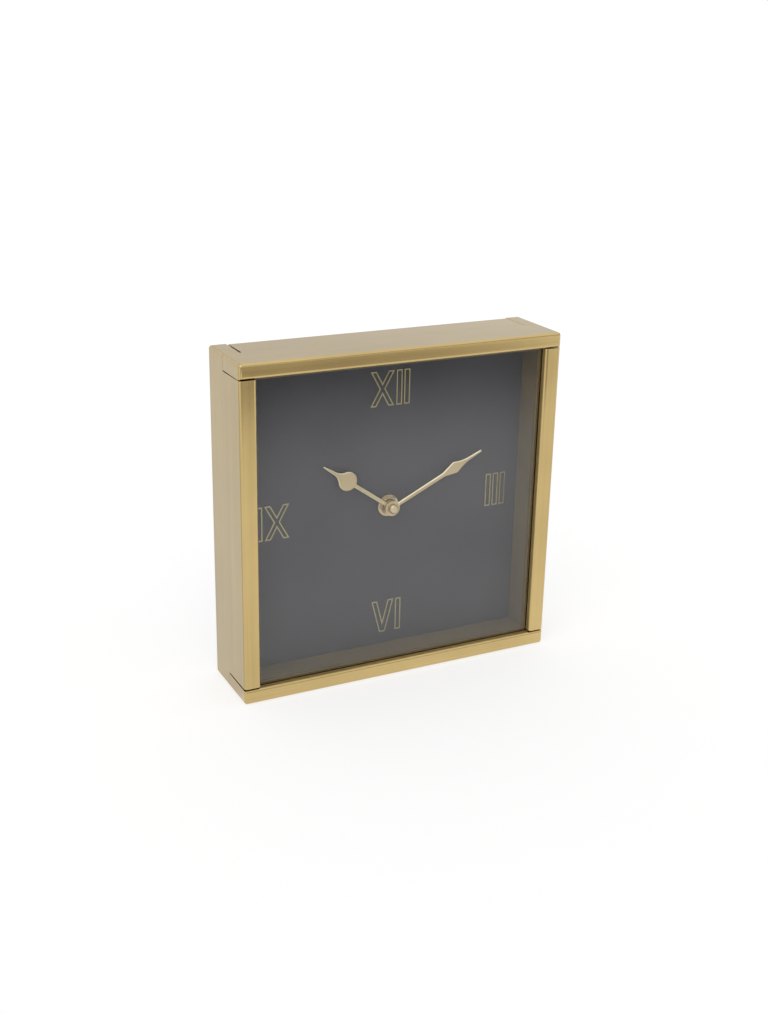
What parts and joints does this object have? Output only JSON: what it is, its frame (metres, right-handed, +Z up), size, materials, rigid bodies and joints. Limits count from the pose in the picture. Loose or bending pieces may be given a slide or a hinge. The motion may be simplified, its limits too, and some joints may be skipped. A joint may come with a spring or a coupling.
{
  "type": "table clock",
  "caption": "Square table clock of half-lapped brass-coloured bars, with a glass front, a dark dial with outlined roman numerals, gilt hands and a quartz movement behind.",
  "frame": {"origin": "middle of the footprint, on the surface that the clock stands on", "axes": "+Z up, +X to the right of someone who looks at the dial, +Y from the dial to the back"},
  "size_m": [0.2, 0.048, 0.2],
  "materials": {
    "case_brass": "brushed, brass coloured, clear coated",
    "glass": "clear float glass",
    "liner": "matt dark grey",
    "dial_paint": "fibreboard, matt dark blue-grey paint",
    "gilt": "satin gilt",
    "block_wood": "planed, unfinished",
    "screw_steel": "zinc plated",
    "cover_board": "hardboard, matt black",
    "rubber": "matt",
    "movement_black": "fine moulded texture",
    "knob_plastic": "moulded",
    "wheel_plastic": "moulded acetal",
    "rotor_plastic": "moulded over a magnet",
    "iron": "stamped",
    "copper_wire": "enamelled copper wire",
    "circuit_green": "solder mask",
    "chip_black": "epoxy",
    "crystal_can": "drawn can",
    "contact_metal": "nickel plated",
    "battery_wrap": "plain printed sleeve"
  },
  "bodies": {
    "case": {"top_bar": "case_brass", "bottom_bar": "case_brass", "left_bar": "case_brass", "right_bar": "case_brass", "glass": "glass", "spacer_top": "liner", "spacer_bottom": "liner", "spacer_left": "liner", "spacer_right": "liner", "dial_board": "dial_paint", "dial_numerals": "gilt", "brass_washer": "gilt", "fixing_nut": "gilt", "corner_block_top_left": "block_wood", "corner_block_top_right": "block_wood", "corner_block_bottom_left": "block_wood", "corner_block_bottom_right": "block_wood", "corner_screws": "screw_steel", "back_cover_screws": "screw_steel", "back_cover": "cover_board", "rubber_washer": "rubber", "movement_case": "movement_black", "movement_cover": "movement_black", "stator": "iron", "coil_core": "iron", "coil": "copper_wire", "circuit_board": "circuit_green", "control_chip": "chip_black", "quartz_crystal": "crystal_can", "positive_contact": "contact_metal", "negative_contact": "contact_metal"},
    "minute_works": {"centre_wheel": "wheel_plastic", "minute_hand": "gilt", "hand_nut": "gilt"},
    "hour_works": {"hour_wheel": "wheel_plastic", "hour_hand": "gilt"},
    "setting_works": {"minute_wheel": "wheel_plastic", "set_knob": "knob_plastic"},
    "third_arbor": {"third_wheel": "wheel_plastic"},
    "seconds_arbor": {"seconds_wheel": "wheel_plastic"},
    "intermediate_arbor": {"intermediate_wheel": "wheel_plastic"},
    "rotor_arbor": {"rotor": "rotor_plastic"},
    "cell": {"battery": "battery_wrap"}
  },
  "joints": [
    {"name": "minute_turn", "type": "hinge", "parent": "case", "child": "minute_works", "pos_m": [0, 0, 0.1], "axis": [0, 1, 0], "continuous": true},
    {"name": "hour_turn", "type": "hinge", "parent": "case", "child": "hour_works", "pos_m": [0, 0, 0.1], "axis": [0, 1, 0], "continuous": true},
    {"name": "set_turn", "type": "hinge", "parent": "case", "child": "setting_works", "pos_m": [-0.00907, 0, 0.10079], "axis": [0, 1, 0], "continuous": true},
    {"name": "third_turn", "type": "hinge", "parent": "case", "child": "third_arbor", "pos_m": [0.00869, 0, 0.10233], "axis": [0, 1, 0], "continuous": true},
    {"name": "seconds_turn", "type": "hinge", "parent": "case", "child": "seconds_arbor", "pos_m": [0, 0, 0.1], "axis": [0, 1, 0], "continuous": true},
    {"name": "intermediate_turn", "type": "hinge", "parent": "case", "child": "intermediate_arbor", "pos_m": [-0.00078, 0, 0.10897], "axis": [0, 1, 0], "continuous": true},
    {"name": "rotor_turn", "type": "hinge", "parent": "case", "child": "rotor_arbor", "pos_m": [-0.00428, 0, 0.11503], "axis": [0, 1, 0], "continuous": true},
    {"name": "battery_slide", "type": "slide", "parent": "case", "child": "cell", "axis": [0, 1, 0], "range_m": [0, 0.025]}
  ],
  "couplings": [
    {"joint": "hour_turn", "follows": "minute_turn", "ratio": 0.083333},
    {"joint": "set_turn", "follows": "minute_turn", "ratio": -0.33333},
    {"joint": "third_turn", "follows": "minute_turn", "ratio": -8},
    {"joint": "seconds_turn", "follows": "minute_turn", "ratio": 60},
    {"joint": "intermediate_turn", "follows": "minute_turn", "ratio": -300},
    {"joint": "rotor_turn", "follows": "minute_turn", "ratio": 1800}
  ]
}
